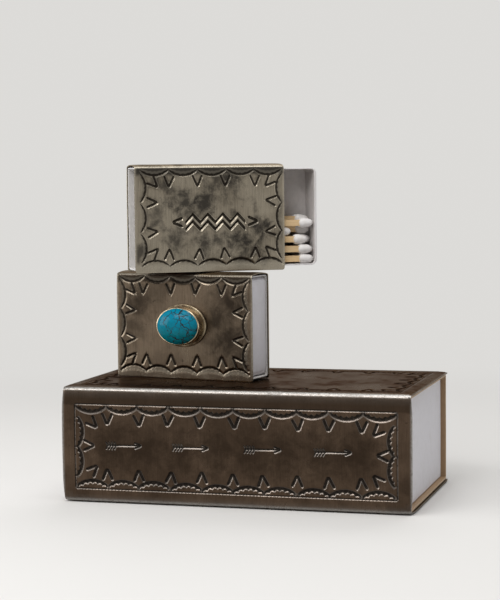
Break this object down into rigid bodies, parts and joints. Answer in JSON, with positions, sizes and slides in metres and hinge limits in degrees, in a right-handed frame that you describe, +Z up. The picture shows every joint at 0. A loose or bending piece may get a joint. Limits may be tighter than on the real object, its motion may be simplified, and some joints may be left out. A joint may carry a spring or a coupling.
{
  "type": "matchbox holder",
  "caption": "Stack of stamped sheet-metal matchbox holders, U-shaped covers open on one side over sliding matchboxes, one set with a turquoise cabochon.",
  "frame": {"origin": "centre of the large holder's footprint, on the surface that it lies on", "axes": "+X along the large holder's length, -Y to its closed web at the front, +Z up the stack"},
  "size_m": [0.122, 0.069, 0.1153],
  "materials": {
    "nickel_silver": "aged nickel silver, dulled, dark in the stamped lines",
    "bezel_silver": "warm tarnished silver sheet",
    "turquoise": "polished stone with dark brown veins",
    "sleeve_card": "white coated board, bare inside",
    "tray_card": "white coated board",
    "striker": "gritty dark red-brown striking surface",
    "match_wood": "raw aspen",
    "match_head": "matt dried white dip"
  },
  "bodies": {
    "large_cover": {"large_cover": "nickel_silver"},
    "large_matchbox": {"large_sleeve": "sleeve_card", "large_striker_front": "striker", "large_striker_back": "striker"},
    "large_tray": {"large_tray": "tray_card", "large_match_sticks": "match_wood", "large_match_heads": "match_head"},
    "middle_cover": {"middle_cover": "nickel_silver", "bezel_plate": "bezel_silver", "bezel_collar": "bezel_silver", "turquoise_stone": "turquoise"},
    "middle_matchbox": {"middle_sleeve": "sleeve_card", "middle_striker_upper": "striker", "middle_striker_lower": "striker"},
    "middle_tray": {"middle_tray": "tray_card", "middle_match_sticks": "match_wood", "middle_match_heads": "match_head"},
    "top_cover": {"top_cover": "nickel_silver"},
    "top_matchbox": {"top_sleeve": "sleeve_card", "top_striker_upper": "striker", "top_striker_lower": "striker"},
    "top_tray": {"top_tray": "tray_card", "top_match_stick_01": "match_wood", "top_match_stick_02": "match_wood", "top_match_stick_03": "match_wood", "top_match_stick_04": "match_wood", "top_match_stick_05": "match_wood", "top_match_stick_06": "match_wood", "top_match_stick_07": "match_wood", "top_match_stick_08": "match_wood", "top_match_stick_09": "match_wood", "top_match_stick_10": "match_wood", "top_match_stick_11": "match_wood", "top_match_stick_12": "match_wood", "top_match_stick_13": "match_wood", "top_match_stick_14": "match_wood", "top_match_stick_15": "match_wood", "top_match_head_01": "match_head", "top_match_head_02": "match_head", "top_match_head_03": "match_head", "top_match_head_04": "match_head", "top_match_head_05": "match_head", "top_match_head_06": "match_head", "top_match_head_07": "match_head", "top_match_head_08": "match_head", "top_match_head_09": "match_head", "top_match_head_10": "match_head", "top_match_head_11": "match_head", "top_match_head_12": "match_head", "top_match_head_13": "match_head", "top_match_head_14": "match_head", "top_match_head_15": "match_head"}
  },
  "joints": [
    {"name": "large_box_slide", "type": "slide", "parent": "large_cover", "child": "large_matchbox", "axis": [1, 0, 0], "range_m": [-0.095, 0.095]},
    {"name": "large_tray_slide", "type": "slide", "parent": "large_matchbox", "child": "large_tray", "axis": [1, 0, 0], "range_m": [-0.085, 0.085]},
    {"name": "middle_lift", "type": "slide", "parent": "large_cover", "child": "middle_cover", "axis": [0, 0, 1], "range_m": [0, 0.06]},
    {"name": "middle_box_slide", "type": "slide", "parent": "middle_cover", "child": "middle_matchbox", "axis": [0.9833, -0.1822, 0], "range_m": [-0.04, 0.04]},
    {"name": "middle_tray_slide", "type": "slide", "parent": "middle_matchbox", "child": "middle_tray", "axis": [0.9833, -0.1822, 0], "range_m": [-0.04, 0.04]},
    {"name": "top_lift", "type": "slide", "parent": "middle_cover", "child": "top_cover", "axis": [0, 0, 1], "range_m": [0, 0.06]},
    {"name": "top_box_slide", "type": "slide", "parent": "top_cover", "child": "top_matchbox", "axis": [0.8526, 0.5225, 0], "range_m": [-0.04, 0.04]},
    {"name": "top_tray_slide", "type": "slide", "parent": "top_matchbox", "child": "top_tray", "axis": [0.8526, 0.5225, 0], "range_m": [-0.053, 0.027]}
  ]
}
